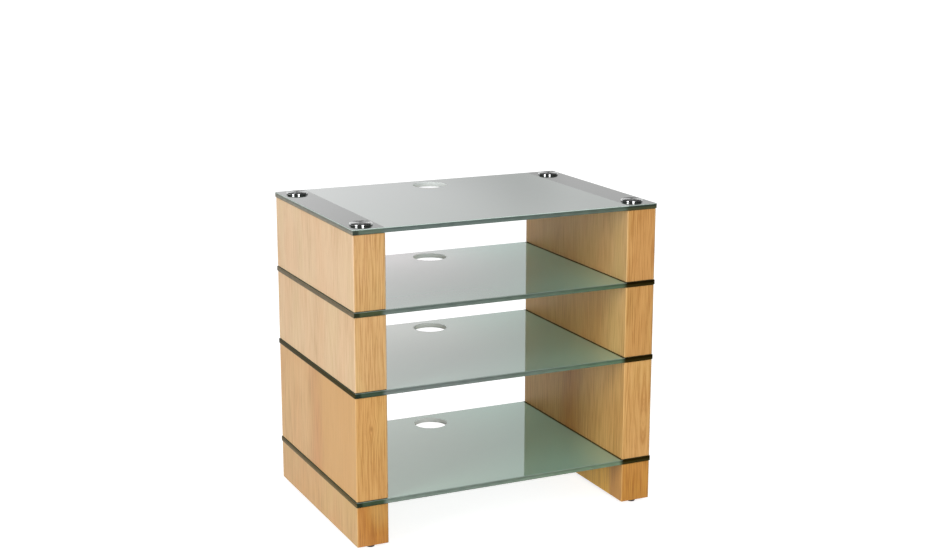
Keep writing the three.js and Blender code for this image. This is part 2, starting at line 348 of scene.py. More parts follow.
# Where the wood is dark, middle and light on the scale of the grain
MIDDLE_TONE = 0.5
TONE_STOPS = (0.10, MIDDLE_TONE, 0.90)
# Pinkish and yellowish patches: how their noise is stretched along the grain and where in it they are, how
# strongly they show where a block says nothing else, and for each its fade and what it multiplies the
# side's tone by
PATCH_STRETCH = 0.35
PATCH_SEED = 7.0
PATCH_NOISE = (14.0, 2.0)
PATCHINESS = 0.5
PATCHES = (
    ((0.40, 0.72, 0.0, 0.55), (1.06, 0.90, 0.82)),
    ((0.28, 0.52, 0.5, 0.0), (0.95, 1.02, 0.86)),
)
# Knot: how much less height counts than width, how far the bent grain and its darkest part reach in sizes
# of the knot, and how strongly it bends the grain and darkens the wood
KNOT_NARROWNESS = 0.6
KNOT_SURROUNDINGS = 4
KNOT_CORE = 0.2
KNOT_PULL = 0.8
KNOT_DARKNESS = 0.65
# Heartwood, as distances from the middle of its band
HEART_FADE = (5 * MM, 70 * MM, 1.0, 0.0)
YELLOWING_START = -60 * MM
YELLOWING_END = 20 * MM
# The side in the bay: how far from the middle it is at most, and how far from the front its painted light
# and shade starts to change
INNER_LIMIT = BLOCK_INNER + 1 * MM
INNER_CHANGE_START = 40 * MM
# Pores, which are fewer in the light stripes, and the end grain of the level faces
PORE_FADE = (0.60, 0.72)
PORE_STRIPE_FADE = (-0.06, 0.10, 0.55, 0.0)
END_GRAIN_DARKNESS = 0.45
# How far from an upright edge the painted highlight reaches, and how far from the right end of a front the
# painted shade reaches
EDGE_HIGHLIGHT_WAVER = 2 * MM
EDGE_HIGHLIGHT_FADE = (0.6 * MM, 2.6 * MM, 0.5, 0.0)
END_SHADE_FADE = (1.2 * MM, 4.2 * MM, 1.0, 0.0)
OAK_ROUGHNESS = (0.44, 0.16)
LINE_RELIEF = 0.5
PORE_RELIEF = -0.7
OAK_BUMP = (0.35, 0.12 * MM)


class Oak:
    """Oak veneer of one block, with upright grain and satin lacquer, painted highlights and shade at its
    upright edges, and painted light and shade on its side in the bay.
    """

    def __init__(self, s, node, seed):
        self.s = s
        self.look = OAK_LOOKS[node]
        self.front, self.side = self.look["front"], self.look["side"]
        self.right_end = -BLOCK_INNER if node.startswith("left") else BLOCK_OUTER
        self.seed = seed
        self.x, self.y, self.z = s.place()
        faces = [s.math("GREATER_THAN", s.math("ABSOLUTE", part), FACING) for part in s.facing()]
        self.side_face, self.front_face, self.level_face = faces

    def by_face(self, on_sides, on_fronts):
        return self.s.mix_number(self.front_face, on_sides, on_fronts)

    def oval(self, centre, narrowness):
        """How far right of a centre a point of the front is, and how far from it, height counted less."""
        s = self.s
        centre_x, centre_z = centre
        aside = s.minus(self.x, centre_x)
        return aside, s.length(aside, s.times(s.minus(self.z, centre_z), narrowness))

    def stretched(self, across, by_across, by_along):
        s = self.s
        return s.vector(s.times(across, by_across), s.times(self.z, by_along), self.seed)

    def across_grain(self):
        """A point's place across the grain, which wavers and may bend round a knot or come to a point."""
        s = self.s
        across = self.by_face(self.y, s.math("ADD", self.x, FRONT_SHIFT + self.seed))
        if "cathedral" in self.look:
            across = self.by_face(across, self.oval(*self.look["cathedral"])[1])
        slow = s.waver(self.stretched(across, *SLOW_STRETCH), *SLOW_NOISE)
        quick = s.waver(self.stretched(across, *QUICK_STRETCH), *QUICK_NOISE)
        across = s.math("MULTIPLY_ADD", slow, SLOW_REACH, across)
        across = s.math("MULTIPLY_ADD", quick, self.by_face(*QUICK_REACHES), across)
        if "knot" in self.look:
            centre, size = self.look["knot"]
            aside, distance = self.oval(centre, KNOT_NARROWNESS)
            near = s.spread(distance, 0.0, size * KNOT_SURROUNDINGS, 1.0, 0.0)
            near = s.times(near, self.front_face)
            across = s.minus(across, s.times(s.times(near, aside), KNOT_PULL))
        return across

    def layers(self, across):
        """Bands, stripes, lines and hairs about zero, and pores."""
        s = self.s
        found = []
        for make, (stretch, *noise) in (
            (s.waver, BANDS),
            (s.waver, STRIPES),
            (s.waver, LINES),
            (s.waver, HAIRS),
            (s.noise, PORES),
        ):
            place = s.vector(across, s.times(self.z, stretch), self.seed)
            found.append(make(place, *noise))
        return found

    def veneer(self, tone, middle):
        dark, light = tinted(middle, OAK_DARK_SHARES), tinted(middle, OAK_LIGHT_SHARES)
        return self.s.ramp(tone, list(zip(TONE_STOPS, (dark, middle, light))))

    def grained(self, bands, stripes, lines, hairs):
        s = self.s
        tone = s.math("MULTIPLY_ADD", stripes, self.by_face(*self.look["stripes"]), MIDDLE_TONE)
        tone = s.math("MULTIPLY_ADD", lines, self.by_face(*LINE_WEIGHTS), tone)
        tone = s.math("MULTIPLY_ADD", hairs, HAIR_WEIGHT, tone)
        tone = s.math("MULTIPLY_ADD", bands, self.by_face(*BAND_WEIGHTS), tone)
        return s.mix(self.front_face, self.veneer(tone, self.side), self.veneer(tone, self.front))

    def patched(self, colour, across):
        s = self.s
        place = s.vector(across, s.times(self.z, PATCH_STRETCH), self.seed + PATCH_SEED)
        noise = s.noise(place, *PATCH_NOISE)
        patchiness = self.look.get("patchiness", PATCHINESS)
        for fade, shares in PATCHES:
            patch = s.mix(patchiness, colour, tinted(self.side, shares))
            colour = s.mix(s.spread(noise, *fade), colour, patch)
        return colour

    def with_heartwood(self, colour):
        if "heartwood" not in self.look:
            return colour
        s = self.s
        heart_y, shares, yellowing = self.look["heartwood"]
        near = s.spread(s.math("ABSOLUTE", s.minus(self.y, heart_y)), *HEART_FADE)
        near = s.times(near, self.side_face)
        colour = s.shaded(colour, s.mix(near, EVEN_SHARES, shares))
        before = s.spread(self.y, heart_y + YELLOWING_START, heart_y + YELLOWING_END, yellowing, 0.0)
        before = s.times(before, self.side_face)
        return s.mix(before, colour, tinted(self.side, YELLOWING_SHARES))

    def lit_and_shaded_in_bay(self, colour):
        """The colour with painted light and shade on the side in the bay, from front to rear."""
        if "inner" not in self.look:
            return colour
        s = self.s
        front_shares, rear_shares, reach = self.look["inner"]
        start = -BLOCK_HALF_DEPTH + INNER_CHANGE_START
        # Painted light and shade on the side in the bay
        shares = s.mix(s.spread(self.y, start, -BLOCK_HALF_DEPTH + reach), front_shares, rear_shares)
        inner_side = s.math("LESS_THAN", s.math("ABSOLUTE", self.x), INNER_LIMIT)
        return s.shaded(colour, s.mix(inner_side, EVEN_SHARES, shares))

    def darkened(self, colour, pore):
        """The colour with the pores, the knot's heart and the end grain in it."""
        s = self.s
        pore_colour = tinted(self.front, OAK_PORE_SHARES)
        colour = s.mix(pore, colour, pore_colour)
        if "knot" in self.look:
            centre, size = self.look["knot"]
            distance = self.oval(centre, KNOT_NARROWNESS)[1]
            heart = s.times(s.spread(distance, size * KNOT_CORE, size, 1.0, 0.0), self.front_face)
            colour = s.mix(s.times(heart, KNOT_DARKNESS), colour, pore_colour)
        end_grain = s.times(self.level_face, END_GRAIN_DARKNESS)
        return s.mix(end_grain, colour, tinted(self.front, OAK_DARK_SHARES))

    def with_edge_light_and_shade(self, colour, lines):
        """The colour with a painted highlight along upright edges, except at a front's right end, which
        gets painted shade instead.
        """
        s = self.s
        off_middle = s.math("ABSOLUTE", self.x)
        to_side = s.math("MINIMUM", s.minus(off_middle, BLOCK_INNER), s.minus(BLOCK_OUTER, off_middle))
        to_front = s.minus(BLOCK_HALF_DEPTH, s.math("ABSOLUTE", self.y))
        to_edge = s.math("MAXIMUM", to_side, to_front)
        # Painted highlight along the upright edges
        edge_highlight = s.spread(s.math("MULTIPLY_ADD", lines, EDGE_HIGHLIGHT_WAVER, to_edge), *EDGE_HIGHLIGHT_FADE)
        # Painted shade at the right end of a front
        end_shade = s.times(s.spread(s.minus(self.right_end, self.x), *END_SHADE_FADE), self.front_face)
        edge_highlight = s.times(edge_highlight, s.minus(1.0, end_shade))
        colour = s.mix(edge_highlight, colour, tinted(self.side, EDGE_HIGHLIGHT_SHARES))
        return s.shaded(colour, s.mix(end_shade, EVEN_SHARES, END_SHADE_SHARES))

    def shader(self):
        s = self.s
        across = self.across_grain()
        bands, stripes, lines, hairs, pores = self.layers(across)
        pore = s.times(s.spread(pores, *PORE_FADE), s.spread(stripes, *PORE_STRIPE_FADE))
        pore = s.times(pore, self.by_face(*PORE_WEIGHTS))
        colour = self.patched(self.grained(bands, stripes, lines, hairs), across)
        colour = self.lit_and_shaded_in_bay(self.with_heartwood(colour))
        colour = self.with_edge_light_and_shade(self.darkened(colour, pore), lines)
        roughness, wavering = OAK_ROUGHNESS
        height = s.math("MULTIPLY_ADD", pore, PORE_RELIEF, s.times(lines, LINE_RELIEF))
        return s.principled(
            {
                "Base Color": colour,
                "Roughness": s.math("MULTIPLY_ADD", lines, wavering, roughness),
                "Normal": s.bump(height, *OAK_BUMP),
                "Specular IOR Level": 0.3,
                "Coat Weight": 0.06,
                "Coat Roughness": 0.3,
            }
        )


def oak(node, seed):
    return surface(f"oak_{node}", lambda s: Oak(s, node, seed).shader())


# Glass

# Body colour of each shelf at the rear left, front left and right of the bay and over the wood, all of it
# painted light and shade that differs from shelf to shelf, and the weight of the coat that mirrors
GLASS_LOOKS = {
    "top": {
        "rear_left": (0.42, 0.450, 0.44, 1.0),
        "front_left": (0.40, 0.440, 0.42, 1.0),
        "right": (0.21, 0.255, 0.230, 1.0),
        "over": (0.035, 0.044, 0.038, 1.0),
        "mirror": 0.0,
    },
    "upper": {
        "rear_left": (0.68, 0.605, 0.63, 1.0),
        "front_left": (0.16, 0.300, 0.23, 1.0),
        "right": (0.24, 0.590, 0.48, 1.0),
        "over": (0.10, 0.130, 0.10, 1.0),
        "mirror": 0.72,
    },
    "middle": {
        "rear_left": (0.56, 0.590, 0.54, 1.0),
        "front_left": (0.29, 0.440, 0.37, 1.0),
        "right": (0.27, 0.560, 0.44, 1.0),
        "over": (0.10, 0.130, 0.10, 1.0),
        "mirror": 0.80,
    },
    "bottom": {
        "rear_left": (0.30, 0.420, 0.34, 1.0),
        "front_left": (0.28, 0.470, 0.36, 1.0),
        "right": (0.27, 0.540, 0.43, 1.0),
        "over": (0.10, 0.130, 0.10, 1.0),
        "mirror": 0.86,
    },
}
GLASS_UNDER = (0.40, 0.50, 0.45, 1.0)
GLASS_IOR = 1.52
GLASS_SPECULAR = 0.5
# Where the body's painted light and shade changes from front to rear and from left to right, and where the
# painted shade over the wood begins
DEPTH_FADE = (-0.9 * BLOCK_HALF_DEPTH, 0.9 * BLOCK_HALF_DEPTH)
WIDTH_FADE = (-0.3 * BLOCK_INNER, 0.9 * BLOCK_INNER)
CONTACT = BLOCK_INNER + GASKET_SET_BACK
CONTACT_FADE = (CONTACT - 2 * MM, CONTACT + 2 * MM)
MOTTLE_NOISE = (60.0, 3.0)
MOTTLE_FADE = (0.2, 0.8, 0.0, 0.03)
# Painted shade along the seam of a lower shelf at the right stack, which its rim beyond the wood shares
SEAM_SHADE = (0.072, 0.066, 0.026, 1.0)
SEAM_FADE = (BLOCK_INNER - 6 * MM, BLOCK_INNER - 2 * MM)
# Upward part of the normal under which a face is the underside
UNDERSIDE = -0.5
POLISH_ROUGHNESS = 0.03
SATIN_NOISE = (2500.0, 2.0)
SATIN_ROUGHNESS = (0.5, 0.2)
SATIN_BUMP = (0.3, 0.02 * MM)

# Colours of each shelf's edges where they are free, at the front of each stack and along its side, which
# are painted light and shade that differs from shelf to shelf, and how bright the painted highlight on the
# upper arris is where it is in the light and where it isn't. A pair of colours is for the edge's lower and
# upper part.
EDGE_LOOKS = {
    "top": {
        "free_left": (0.121, 0.158, 0.144, 1.0),
        "free_right": (0.098, 0.132, 0.102, 1.0),
        "front_left": (0.105, 0.140, 0.105),
        "front_right": ((0.062, 0.068, 0.034, 1.0), (0.034, 0.046, 0.034, 1.0)),
        "side": ((0.265, 0.250, 0.200, 1.0), (0.195, 0.202, 0.175, 1.0)),
        "arris": (0.95, 0.60),
    },
    "upper": {
        "free_left": (0.131, 0.168, 0.148, 1.0),
        "free_right": (0.086, 0.137, 0.080, 1.0),
        "front_left": (0.055, 0.070, 0.034),
        "front_right": ((0.026, 0.020, 0.004, 1.0), (0.010, 0.006, 0.001, 1.0)),
        "side": ((0.180, 0.150, 0.098, 1.0), (0.160, 0.130, 0.082, 1.0)),
        "arris": (0.22, 0.0),
    },
    "middle": {
        "free_left": (0.161, 0.192, 0.178, 1.0),
        "free_right": (0.107, 0.174, 0.107, 1.0),
        "front_left": (0.042, 0.068, 0.044),
        "front_right": ((0.026, 0.020, 0.004, 1.0), (0.013, 0.008, 0.001, 1.0)),
        "side": ((0.052, 0.043, 0.014, 1.0), (0.043, 0.035, 0.010, 1.0)),
        "arris": (0.20, 0.0),
    },
    "bottom": {
        "free_left": (0.190, 0.240, 0.205, 1.0),
        "free_right": (0.172, 0.250, 0.160, 1.0),
        "front_left": (0.045, 0.072, 0.040),
        "front_right": ((0.036, 0.030, 0.008, 1.0), (0.017, 0.011, 0.001, 1.0)),
        "side": ((0.175, 0.132, 0.062, 1.0), (0.105, 0.078, 0.033, 1.0)),
        "arris": (0.20, 0.0),
    },
}
# Painted highlight on the upper arris
ARRIS_HIGHLIGHT = (0.60, 0.73, 0.67, 1.0)
# Painted light on the cable hole's wall, standing in for light through the glass
HOLE_WALL_LIGHT = (0.78, 0.82, 0.80, 1.0)
# Low enough that the dark edges don't turn grey
EDGE_SPECULAR = 0.006
# Depths under the shelf's top at which a part of the edge begins and is full
UPPER_PART = (7 * MM, 3 * MM)
ARRIS_PART = (1.5 * MM, 0.6 * MM)
# Sideways part of the normal at which an edge turns from the front's to the side's
EDGE_SIDE_FADE = (0.5, 0.8)
# Where the painted shade on the edge begins over the left and the right stack, and how far to either side
# it changes
DARK_ONSETS = (BLOCK_INNER + 7 * MM, BLOCK_INNER - 4 * MM)
DARK_FADE = (-7 * MM, 7 * MM)
# Change of the free edge from left to right, and its painted light and shade in its lower and upper part
FREE_FADE = (-0.5 * BLOCK_INNER, BLOCK_INNER)
FREE_SHARES = (1.05, 0.78)
# Painted shade at the front left corner, and the brightness beside it
CORNER_SHADE_FADE = (-BLOCK_OUTER + 8 * MM, -BLOCK_OUTER + 14 * MM, 0.4, 1.0)
STREAK_STRETCH = 12.0
STREAK_NOISE = (45.0, 3.0)
STREAK_FADE = (0.30, 0.70, 0.85, 1.15)
# How far from the cable hole's middle its wall and arris reach
HOLE_REACH = CABLE_HOLE_RADIUS + 3 * MM
GROUND_NOISE = (900.0, 2.0)
GROUND_ROUGHNESS = (0.12, 0.10)
GROUND_BUMP = (0.08, 0.02 * MM)


def glass_faces(shelf):
    """Thick float glass with a polished top and a satin underside, which is what shows through the top,
    with painted light and shade on its body.
    """
    look = GLASS_LOOKS[shelf]

    def build(s):
        x, y, z = s.place()
        _, _, upward = s.facing()
        under = s.math("LESS_THAN", upward, UNDERSIDE)
        off_middle = s.math("ABSOLUTE", x)
        # Painted light and shade across the bay, and painted shade over the wood
        left = s.mix(s.spread(y, *DEPTH_FADE), look["front_left"], look["rear_left"])
        between = s.mix(s.spread(x, *WIDTH_FADE), left, look["right"])
        body = s.mix(s.spread(off_middle, *CONTACT_FADE), between, look["over"])
        mottle = s.noise(s.vector(x, y, z), *MOTTLE_NOISE)
        body = s.mix(s.spread(mottle, *MOTTLE_FADE), body, GLASS_UNDER)
        specular, mirror = GLASS_SPECULAR, look["mirror"]
        # Painted shade along the right stack's seam and on the rim beyond the wood
        if shelf != "top":
            rim = s.math("GREATER_THAN", off_middle, BLOCK_OUTER)
            seam = s.math("MAXIMUM", rim, s.spread(x, *SEAM_FADE))
            body = s.mix(seam, body, SEAM_SHADE)
            specular = s.mix_number(seam, specular, EDGE_SPECULAR)
            mirror = s.mix_number(seam, mirror, 0.0)
        satin = s.noise(s.vector(x, y, z), *SATIN_NOISE)
        roughness, wavering = SATIN_ROUGHNESS
        satin_roughness = s.math("MULTIPLY_ADD", satin, wavering, roughness)
        return s.principled(
            {
                "Base Color": s.mix(under, body, GLASS_UNDER),
                "Roughness": s.mix_number(under, POLISH_ROUGHNESS, satin_roughness),
                "IOR": GLASS_IOR,
                "Specular IOR Level": specular,
                "Normal": s.bump(s.times(satin, under), *SATIN_BUMP),
                "Coat Weight": mirror,
                "Coat IOR": GLASS_IOR,
                "Coat Roughness": 0.02,
            }
        )

    return surface(f"glass_{shelf}", build)


def glass_edges(shelf, high):
    """The ground edges: green where they are free, with painted shade against the wood, painted light in
    the cable hole and a painted highlight on the upper arris.
    """
    look = EDGE_LOOKS[shelf]

    def build(s):
        x, y, z = s.place()
        sideways, _, _ = s.facing()
        side_face = s.spread(s.math("ABSOLUTE", sideways), *EDGE_SIDE_FADE)
        at_right = s.math("GREATER_THAN", x, 0.0)
        upper = s.spread(z, *[high.z - depth for depth in UPPER_PART])
        # Painted shade where the edge is against the wood
        past_onset = s.minus(s.math("ABSOLUTE", x), s.mix_number(at_right, *DARK_ONSETS))
        over_wood = s.spread(past_onset, *DARK_FADE)
        free = s.mix(s.spread(x, *FREE_FADE), look["free_left"], look["free_right"])
        # Painted light and shade from the edge's lower to its upper part
        free = s.scaled(free, s.mix_number(upper, *FREE_SHARES))
        front_left = s.scaled(look["front_left"], s.spread(x, *CORNER_SHADE_FADE))
        front = s.mix(at_right, front_left, s.mix(upper, *look["front_right"]))
        dark = s.mix(side_face, front, s.mix(upper, *look["side"]))
        colour = s.mix(over_wood, free, dark)
        streak = s.noise(s.vector(x, y, s.times(z, STREAK_STRETCH)), *STREAK_NOISE)
        colour = s.scaled(colour, s.spread(streak, *STREAK_FADE))
        # Painted highlight on the upper arris
        at_arris = s.spread(z, *[high.z - depth for depth in ARRIS_PART])
        at_right_stack = s.math("GREATER_THAN", x, BLOCK_INNER)
        shaded = s.math("MAXIMUM", at_right_stack, s.times(side_face, over_wood))
        highlight_share = s.times(at_arris, s.mix_number(shaded, *look["arris"]))
        colour = s.mix(highlight_share, colour, ARRIS_HIGHLIGHT)
        # Painted light on the cable hole's wall
        from_hole = s.length(x, s.minus(y, high.y - CABLE_HOLE_INSET))
        colour = s.mix(s.math("LESS_THAN", from_hole, HOLE_REACH), colour, HOLE_WALL_LIGHT)
        ground = s.noise(s.vector(x, y, z), *GROUND_NOISE)
        roughness, wavering = GROUND_ROUGHNESS
        return s.principled(
            {
                "Base Color": colour,
                "Roughness": s.math("MULTIPLY_ADD", ground, wavering, roughness),
                "IOR": GLASS_IOR,
                "Specular IOR Level": EDGE_SPECULAR,
                "Normal": s.bump(ground, *GROUND_BUMP),
            }
        )

    return surface(f"glass_edges_{shelf}", build)


# Rubber, vinyl and metal

RUBBER_NOISE = (1800.0, 2.0)
RUBBER_FADE = (0.3, 0.7)
RUBBER_WAVER = 0.15
RUBBER_BUMP = (0.3, 0.05 * MM)
LIGHTER_SHARE = 1.5
LIGHTER_SHIFT = 0.004
CLOUD_NOISE = (260.0, 3.0)
CLOUD_FADE = (0.35, 0.65)
DULL_SHARES = (0.82, 0.82, 0.82)
POLISH_STRETCH = 6.0
POLISH_NOISE = (1600.0, 2.0)
POLISH_BUMP = (0.15, 0.02 * MM)
CHROME = (0.55, 0.56, 0.56, 1.0)
# Upward part of the normal at which a cap's rim turns into its top
CHROME_TOP_FADE = (0.90, 0.985)
CHROME_RIM_ROUGHNESS = 0.08
CHROME_TOP_ROUGHNESS = (0.38, 0.08)
CHROME_NOISE = (320.0, 2.0)
RING_NOISE = (3200.0, 2.0)
RING_BUMP = (0.25, 0.02 * MM)


def rubber(name, colour, low_roughness):
    """Rubber or vinyl with a fine grain."""
    lighter = tuple(value * LIGHTER_SHARE + LIGHTER_SHIFT for value in colour[:3]) + (1.0,)

    def build(s):
        grain = s.noise(s.vector(*s.place()), *RUBBER_NOISE)
        return s.principled(
            {
                "Base Color": s.mix(s.spread(grain, *RUBBER_FADE), colour, lighter),
                "Roughness": s.math("MULTIPLY_ADD", grain, RUBBER_WAVER, low_roughness),
                "Normal": s.bump(grain, *RUBBER_BUMP),
            }
        )

    return surface(name, build)


def plated(name, colour, roughness, wavering):
    """Plated or machined metal with fine, uneven polish."""

    def build(s):
        x, y, z = s.place()
        cloud = s.spread(s.noise(s.vector(x, y, z), *CLOUD_NOISE), *CLOUD_FADE)
        fine = s.noise(s.vector(x, y, s.times(z, POLISH_STRETCH)), *POLISH_NOISE)
        return s.principled(
            {
                "Base Color": s.mix(cloud, colour, tinted(colour, DULL_SHARES)),
                "Metallic": 1.0,
                "Roughness": s.math("MULTIPLY_ADD", fine, wavering, roughness - wavering / 2),
                "Normal": s.bump(fine, *POLISH_BUMP),
            }
        )

    return surface(name, build)


def turned_chrome(name, centre_x, centre_y):
    """Chrome with the fine rings that turning leaves on the top face."""

    def build(s):
        x, y, z = s.place()
        _, _, upward = s.facing()
        top = s.spread(upward, *CHROME_TOP_FADE)
        from_axis = s.length(s.minus(x, centre_x), s.minus(y, centre_y))
        rings = s.noise(s.vector(from_axis, 0.0, 0.0), *RING_NOISE)
        cloud = s.noise(s.vector(x, y, z), *CHROME_NOISE)
        roughness, wavering = CHROME_TOP_ROUGHNESS
        top_roughness = s.math("MULTIPLY_ADD", cloud, wavering, roughness)
        tangent = s.add("ShaderNodeTangent", direction_type="RADIAL", axis="Z")
        return s.principled(
            {
                "Base Color": CHROME,
                "Metallic": 1.0,
                "Roughness": s.mix_number(top, CHROME_RIM_ROUGHNESS, top_roughness),
                "Anisotropic": 0.95,
                "Anisotropic Rotation": 0.25,
                "Tangent": tangent.outputs[0],
                "Normal": s.bump(s.times(rings, top), *RING_BUMP),
            }
        )

    return surface(name, build)


# Meshes


def axis_of(node):
    """The middle of a round node on plan, and its radius."""
    low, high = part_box(node)
    return (low.x + high.x) / 2, (low.y + high.y) / 2, (high.x - low.x) / 2


def around(x, y, sides, radius_at):
    """Points round an upright axis, where radius_at(angle) is the radius at an angle."""
    angles = [2 * math.pi * i / sides for i in range(sides)]
    return [(x + radius_at(at) * math.cos(at), y + radius_at(at) * math.sin(at)) for at in angles]


def arc(centre_r, centre_z, radius, start, end, steps):
    """Points of a profile's quarter turn, with the angles in degrees."""
    found = []
    for i in range(steps + 1):
        angle = math.radians(start + (end - start) * i / steps)
        found.append((centre_r + radius * math.cos(angle), centre_z + radius * math.sin(angle)))
    return found


def circular(radius):
    """The radius of a circle for around(), the same at every angle."""
    return lambda angle: radius


def hole(x, y, radius, sides):
    """The outline of a hole, as points for a distance into the plate."""
    return lambda inset: around(x, y, sides, circular(radius + inset))


def rounded_rectangle(half_x, half_y, radius, steps):
    """The outline of a plate, as points for a distance inwards."""

    def points(inset):
        found = []
        for quarter, (sign_x, sign_y) in enumerate(((1, 1), (-1, 1), (-1, -1), (1, -1))):
            for i in range(steps + 1):
                angle = (quarter + i / steps) * math.pi / 2
                x = sign_x * (half_x - radius) + (radius - inset) * math.cos(angle)
                y = sign_y * (half_y - radius) + (radius - inset) * math.sin(angle)
                found.append((x, y))
        return found

    return points


def add_loop(bm, points, z):
    return [bm.verts.new((x, y, z)) for x, y in points]


def add_skin(bm, loops):
    """Faces from each loop of vertices to the next. A loop of one vertex is a point on the axis."""
    for lower, upper in zip(loops, loops[1:]):
        for i in range(max(len(lower), len(upper))):
            ways = ((lower, i - 1), (lower, i), (upper, i), (upper, i - 1))
            corners = dict.fromkeys(loop[number % len(loop)] for loop, number in ways)
            bm.faces.new(list(corners))


def mesh_of(name, bm):
    bmesh.ops.recalc_face_normals(bm, faces=bm.faces)
    mesh = bpy.data.meshes.new(name)
    bm.to_mesh(mesh)
    bm.free()
    return mesh


def plate(name, outlines, low, high):
    """A plate between two levels, with a rounded arris on every outline."""
    profile = []
    for i in range(SHELF_ARRIS_STEPS + 1):
        angle = i / SHELF_ARRIS_STEPS * math.pi / 2
        profile.append((SHELF_ARRIS * (1 - math.sin(angle)), low + SHELF_ARRIS * (1 - math.cos(angle))))
    for i in range(SHELF_ARRIS_STEPS + 1):
        angle = (1 - i / SHELF_ARRIS_STEPS) * math.pi / 2
        profile.append((SHELF_ARRIS * (1 - math.sin(angle)), high - SHELF_ARRIS * (1 - math.cos(angle))))
    bm = bmesh.new()
    rims = ([], [])
    for outline in outlines:
        loops = [add_loop(bm, outline(inset), z) for inset, z in profile]
        add_skin(bm, loops)
        for rim, loop in zip(rims, (loops[0], loops[-1])):
            rim += [bm.edges.get((loop[i - 1], loop[i])) for i in range(len(loop))]
    for rim in rims:
        bmesh.ops.triangle_fill(bm, use_beauty=True, use_dissolve=False, edges=rim)
    return mesh_of(name, bm)


def turned(name, x, y, profile, sides):
    """A piece turned about an upright axis. The profile runs from the axis back to the axis."""
    bm = bmesh.new()
    loops = []
    for radius, z in profile:
        if radius:
            loops.append(add_loop(bm, around(x, y, sides, circular(radius)), z))
        else:
            loops.append(add_loop(bm, [(x, y)], z))
    add_skin(bm, loops)
    return mesh_of(name, bm)


def finished(name, mesh, materials, body, slot, *nodes):
    """The mesh as a piece on a body in place of CAD nodes. The last material is for faces not level."""
    mesh.set_sharp_from_angle(angle=CREASE_ANGLE)
    for polygon in mesh.polygons:
        level = abs(polygon.normal.z) > LEVEL
        polygon.use_smooth = not level
        polygon.material_index = 0 if level else len(materials) - 1
    for material in materials:
        mesh.materials.append(material)
    piece = bpy.data.objects.new(name, mesh)
    bpy.context.scene.collection.objects.link(piece)
    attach(piece, body)
    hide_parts(*nodes)


# The rack's wood and small parts keep their CAD shapes


def dress(node, material):
    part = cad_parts[node]
    part.data.materials.clear()
    part.data.materials.append(material)


def dress_wood():
    for side_number, side in enumerate(SIDES):
        for block_number, block in enumerate(BLOCKS):
            node = f"{side}_{block}"
            seed = FIRST_SEED + side_number * SEED_PER_SIDE + block_number * SEED_PER_BLOCK
            dress(node, oak(node, seed))


def dress_small_parts():
    gasket = rubber("gasket_vinyl", (0.065, 0.052, 0.026, 1.0), low_roughness=0.33)
    washer = rubber("washer_rubber", (0.012, 0.012, 0.012, 1.0), low_roughness=0.58)
    zinc = plated("zinc_steel", (0.60, 0.61, 0.62, 1.0), roughness=0.32, wavering=0.14)
    brass = plated("brass", (0.60, 0.42, 0.16, 1.0), roughness=0.30, wavering=0.12)
    for side in SIDES:
        for shelf in SHELVES:
            dress(f"{side}_gasket_{shelf}_below", gasket)
            if shelf != "top":
                dress(f"{side}_gasket_{shelf}_above", gasket)
    for spot in SPOTS:
        for kind in ("rod", "nut", "washer"):
            dress(f"{kind}_{spot}", zinc)
        dress(f"cap_washer_{spot}", washer)
        dress(f"foot_insert_{spot}", brass)


# Glass, caps and feet are pieces of this script


def add_shelves():
    for shelf in SHELVES:
        node = f"shelf_{shelf}"
        low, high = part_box(node)
        outlines = [
            rounded_rectangle(high.x, high.y, SHELF_CORNER_RADIUS, SHELF_CORNER_STEPS),
            hole(0.0, high.y - CABLE_HOLE_INSET, CABLE_HOLE_RADIUS, CABLE_HOLE_SIDES),
        ]
        for spot in SPOTS:
            x, y, _ = axis_of(f"rod_{spot}")
            outlines.append(hole(x, y, ROD_HOLE_RADIUS, ROD_HOLE_SIDES))
        mesh = plate(f"glass_{shelf}", outlines, low.z, high.z)
        materials = [glass_faces(shelf), glass_edges(shelf, high)]
        finished(f"glass_{shelf}", mesh, materials, "rack", "shelf_glass", node)


def cap_profile(low, high, underside, radius):
    """From the end of the bore down round the boss, out to the rim and over the crown."""
    shoulder = high - CAP_CROWN - CAP_SHOULDER
    flat = radius - CAP_SHOULDER
    profile = [
        (0, low + CAP_BORE_DEPTH),
        (CAP_BORE_RADIUS, low + CAP_BORE_DEPTH),
        (CAP_BORE_RADIUS, low),
        (CAP_BOSS_RADIUS - CAP_BOSS_CHAMFER, low),
        (CAP_BOSS_RADIUS, low + CAP_BOSS_CHAMFER),
        (CAP_BOSS_RADIUS, underside),
        (radius - CAP_RIM_CHAMFER, underside),
        (radius, underside + CAP_RIM_CHAMFER),
    ]
    profile += arc(flat, shoulder, CAP_SHOULDER, 0, 90, CAP_SHOULDER_STEPS)
    for i in range(1, CAP_CROWN_STEPS + 1):
        inward = i / CAP_CROWN_STEPS
        rise = CAP_CROWN * (1 - (1 - inward) ** 2)
        profile.append((flat * (1 - inward), shoulder + CAP_SHOULDER + rise))
    return profile


def add_caps():
    for spot in SPOTS:
        node = f"cap_{spot}"
        name = f"chrome_{node}"
        low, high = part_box(node)
        x, y, radius = axis_of(node)
        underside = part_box(f"cap_washer_{spot}")[1].z
        mesh = turned(name, x, y, cap_profile(low.z, high.z, underside, radius), CAP_SIDES)
        finished(name, mesh, [turned_chrome(name, x, y)], f"{spot}_cap", "chrome", node)


